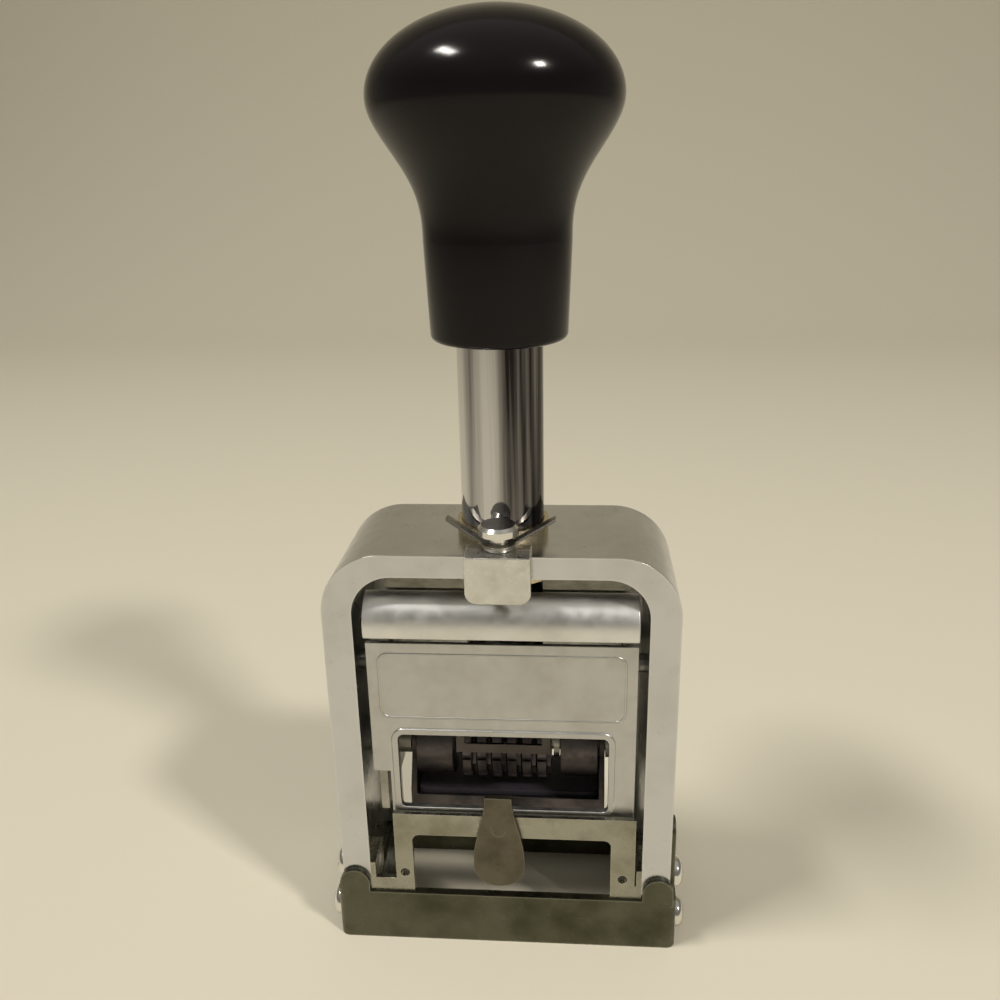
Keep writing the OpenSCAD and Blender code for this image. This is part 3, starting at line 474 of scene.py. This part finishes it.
# ---- Axle, drums and number wheels ----
# Six steel wheels turn on one axle between two blank drums. Each has ten raised type blocks with the
# figures cut in reverse, black with ink, and a ratchet ring that the feed pawl reaches between the wheels.
inked = metal("inked_type_metal", (0.15, 0.13, 0.135), (0.055, 0.046, 0.06), (0.24, 0.22, 0.22), (0.35, 0.55),
              patch=350.0, stain_and_painted_reflection_amount=0.9, arris=0.12 * MM)
blackened = metal("blackened_steel", (0.14, 0.125, 0.125), (0.055, 0.048, 0.058), (0.22, 0.205, 0.20),
                  (0.35, 0.55), patch=240.0, stain_and_painted_reflection_amount=0.8, arris=0.2 * MM)
for name in ("wheel_axle", "axle_collars"):
    finish_node(name, steel)
dressed("blank_drums", blackened, 0.2 * MM)
TYPE_H = 2.9 * MM
TYPE_DEPTH = 0.12 * MM
TYPE_SUNK = 0.02 * MM
TYPE_NARROW = 0.8
RATCHET_GAP = 0.7 * MM
WHEELS = 6
wheel_lo, wheel_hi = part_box("number_wheel_1")
WHEEL_R = (wheel_hi.z - wheel_lo.z) / 2.0
AXLE = Vector((0.0, (wheel_lo.y + wheel_hi.y) / 2.0, (wheel_lo.z + wheel_hi.z) / 2.0))
glyphs = [figure(str(digit), TYPE_H, TYPE_DEPTH) for digit in range(10)]


def wrapped(points, face_x, angle):
    """A flat figure laid on the wheel's rim: its width runs back along the axle, so that it prints the right
    way round, and its height becomes an angle round the axle."""
    across, along, out = points.T
    turn = angle + along / WHEEL_R
    reach = WHEEL_R + out - TYPE_SUNK
    return np.stack([face_x - across * TYPE_NARROW,
                     AXLE.y - reach * np.sin(turn),
                     AXLE.z - reach * np.cos(turn)], 1)


for number in range(1, WHEELS + 1):
    node = f"number_wheel_{number}"
    low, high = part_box(node)
    ring_x = low.x + (high.x - low.x - RATCHET_GAP) / 2.0
    parts = [(wrapped(points, ring_x, math.radians(36.0 * digit)), faces)
             for digit, (points, faces) in enumerate(glyphs)]
    figures = facing_out(mesh_object(f"wheel_{number}_figures", *joined(parts), inked, smooth=False))
    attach(figures, body_of(node))
    dressed(node, inked, 0.06 * MM, turns=2)


# ---- Feed pawl and yoke ----
# The yoke swings on the axle and its six-fingered pawl pushes the wheels on by one figure.
for name in ("pawl_yoke", "pawl_pin"):
    finish_node(name, steel)
finish_node("feed_pawl", spring_steel)


# ---- Ink pad and tray ----
# A felt block soaked black, in a blackened tray that swings clear of the wheels. The felt's top edge is
# rounded and pressed a little hollow where the wheels touch it.
dressed("pad_tray", blackened, 0.12 * MM)
PAD_HOLLOW = 0.12 * MM
PAD_SQUARENESS = 0.14


def felt():
    """Inked felt: one noise makes the fibres in the bump and mixes black with a violet-black."""
    mat = bpy.data.materials.new("inked_felt")
    mat.use_nodes = True
    nodes, links = mat.node_tree.nodes, mat.node_tree.links
    shader = nodes["Principled BSDF"]
    shader.inputs["Roughness"].default_value = 0.75
    shader.inputs["Sheen Weight"].default_value = 0.15
    place = nodes.new("ShaderNodeTexCoord").outputs["Object"]
    fibre = nodes.new("ShaderNodeTexNoise")
    fibre.inputs["Scale"].default_value = 1500.0
    fibre.inputs["Detail"].default_value = 8.0
    fibre.inputs["Distortion"].default_value = 1.5
    links.new(place, fibre.inputs["Vector"])
    mix = nodes.new("ShaderNodeMix")
    mix.data_type = "RGBA"
    mix.inputs["A"].default_value = (0.012, 0.01, 0.016, 1.0)
    mix.inputs["B"].default_value = (0.05, 0.04, 0.06, 1.0)
    links.new(fibre.outputs["Fac"], mix.inputs["Factor"])
    links.new(mix.outputs["Result"], shader.inputs["Base Color"])
    bump = nodes.new("ShaderNodeBump")
    bump.inputs["Strength"].default_value = 0.7
    bump.inputs["Distance"].default_value = 0.15 * MM
    links.new(fibre.outputs["Fac"], bump.inputs["Height"])
    links.new(bump.outputs["Normal"], shader.inputs["Normal"])
    return mat


def pad_block(low, high, rows=48, columns=96):
    """A closed block on a grid of two angles: cosine and sine raised to PAD_SQUARENESS make nearly square
    sides, and a shallow cosine hollow presses the top down in the middle."""
    across = np.linspace(-np.pi / 2.0, np.pi / 2.0, rows)
    around = np.linspace(0.0, 2.0 * np.pi, columns, endpoint=False)

    def box_like(value):
        return np.sign(value) * np.abs(value) ** PAD_SQUARENESS

    u, v = np.meshgrid(across, around, indexing="ij")
    x = box_like(np.cos(u)) * box_like(np.cos(v))
    y = box_like(np.cos(u)) * box_like(np.sin(v))
    z = box_like(np.sin(u))
    middle, half = (np.array(low) + np.array(high)) / 2.0, (np.array(high) - np.array(low)) / 2.0
    points = np.stack([x, y, z], 2) * half + middle
    dip = PAD_HOLLOW * np.cos(np.pi / 2.0 * np.clip(y, -1, 1)) * (z > 0.5)
    points[..., 2] -= dip
    i, j = np.meshgrid(np.arange(rows - 1), np.arange(columns), indexing="ij")
    nj = (j + 1) % columns
    faces = np.stack([i * columns + j, i * columns + nj, (i + 1) * columns + nj, (i + 1) * columns + j], 2)
    return points.reshape(-1, 3), faces.reshape(-1, 4)


pad = facing_out(mesh_object("ink_pad_felt", *pad_block(*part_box("ink_pad")), felt()))
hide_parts("ink_pad")
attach(pad, body_of("ink_pad"))


# ---- Floor, lights and camera ----
# A pale warm sheet curves up behind the machine. Two soft lamps stand left and right of the camera, and
# the camera is the one fitted to the photographed frame, foot, stem and knob.
FLOOR_COLOUR = (0.69, 0.65, 0.535)
SHEET_HALF = 1.4
SHEET_BEND = 0.35
SHEET_BACK = 0.55
SHEET_TOP = 1.6
LAMP_SPREAD = math.radians(110)
CAMERA_AT = Vector((11.51, -147.05, 130.28)) * MM
CAMERA_PITCH, CAMERA_YAW, CAMERA_ROLL = (math.radians(a) for a in (19.66, -4.65, -1.18))
CAMERA_FOCAL = 977.72 / 1000.0


def backdrop():
    """A sheet carried along X: flat floor, then a quarter circle, then a wall."""
    bend = np.radians(np.linspace(-90.0, 0.0, 24))
    y = np.concatenate([[-SHEET_HALF], SHEET_BACK + SHEET_BEND * np.cos(bend), [SHEET_BACK + SHEET_BEND]])
    z = np.concatenate([[0.0], SHEET_BEND + SHEET_BEND * np.sin(bend), [SHEET_TOP]])
    points = np.concatenate([np.stack([np.full(len(y), x), y, z], 1) for x in (-SHEET_HALF, SHEET_HALF)])
    row = np.arange(len(y) - 1)
    faces = np.stack([row, row + len(y), row + len(y) + 1, row + 1], 1)
    mat = bpy.data.materials.new("floor_sheet")
    mat.use_nodes = True
    shader = mat.node_tree.nodes["Principled BSDF"]
    shader.inputs["Base Color"].default_value = (*FLOOR_COLOUR, 1.0)
    shader.inputs["Roughness"].default_value = 0.9
    return mesh_object("floor_sheet", points, faces, mat)


backdrop()


def lamp(name, place, aim, size, watts, colour):
    """A rectangular area lamp that faces its aim and spreads its light over LAMP_SPREAD."""
    light = bpy.data.lights.new(name, "AREA")
    light.shape = "RECTANGLE"
    light.size, light.size_y = size
    light.energy = watts
    light.spread = LAMP_SPREAD
    light.color = colour
    holder = bpy.data.objects.new(name, light)
    holder.location = place
    holder.rotation_euler = (Vector(aim) - Vector(place)).to_track_quat("-Z", "Y").to_euler()
    bpy.context.scene.collection.objects.link(holder)


lamp("left_lamp", (-0.56, -0.22, 1.22), (0.0, 0.0, 0.07), (0.34, 0.14), 3.1, (1.0, 0.96, 0.89))
lamp("right_lamp", (0.82, -0.66, 1.08), (0.0, 0.0, 0.05), (0.16, 0.16), 3.4, (1.0, 0.95, 0.87))

world = bpy.data.worlds.new("room")
world.use_nodes = True
world_nodes, world_links = world.node_tree.nodes, world.node_tree.links
direction = world_nodes.new("ShaderNodeTexCoord")
split = world_nodes.new("ShaderNodeSeparateXYZ")
height_ramp = world_nodes.new("ShaderNodeValToRGB")
height_ramp.color_ramp.elements[0].position = 0.46
height_ramp.color_ramp.elements[0].color = (0.36, 0.34, 0.29, 1.0)
height_ramp.color_ramp.elements[1].position = 0.98
height_ramp.color_ramp.elements[1].color = (0.55, 0.53, 0.48, 1.0)
middle_stop = height_ramp.color_ramp.elements.new(0.68)
middle_stop.color = (0.24, 0.225, 0.19, 1.0)
halve = world_nodes.new("ShaderNodeMath")
halve.operation = "MULTIPLY_ADD"
halve.inputs[1].default_value = 0.5
halve.inputs[2].default_value = 0.5
world_links.new(direction.outputs["Generated"], split.inputs["Vector"])
world_links.new(split.outputs["Z"], halve.inputs[0])
world_links.new(halve.outputs["Value"], height_ramp.inputs["Fac"])
world_links.new(height_ramp.outputs["Color"], world_nodes["Background"].inputs["Color"])
world_nodes["Background"].inputs["Strength"].default_value = 0.62
bpy.context.scene.world = world

ahead = Vector((math.sin(CAMERA_YAW) * math.cos(CAMERA_PITCH), math.cos(CAMERA_YAW) * math.cos(CAMERA_PITCH),
                -math.sin(CAMERA_PITCH)))
level = Vector((math.cos(CAMERA_YAW), -math.sin(CAMERA_YAW), 0.0))
upright = level.cross(ahead)
right = level * math.cos(CAMERA_ROLL) + upright * math.sin(CAMERA_ROLL)
up = upright * math.cos(CAMERA_ROLL) - level * math.sin(CAMERA_ROLL)
camera = bpy.data.objects.new("camera", bpy.data.cameras.new("camera"))
camera.data.sensor_width = 36.0
camera.data.lens = 36.0 * CAMERA_FOCAL
camera.data.clip_start = 0.005
camera.matrix_world = Matrix.Translation(CAMERA_AT) @ Matrix((right, up, -ahead)).transposed().to_4x4()
bpy.context.scene.collection.objects.link(camera)
bpy.context.scene.camera = camera
bpy.context.scene.view_settings.view_transform = "Standard"
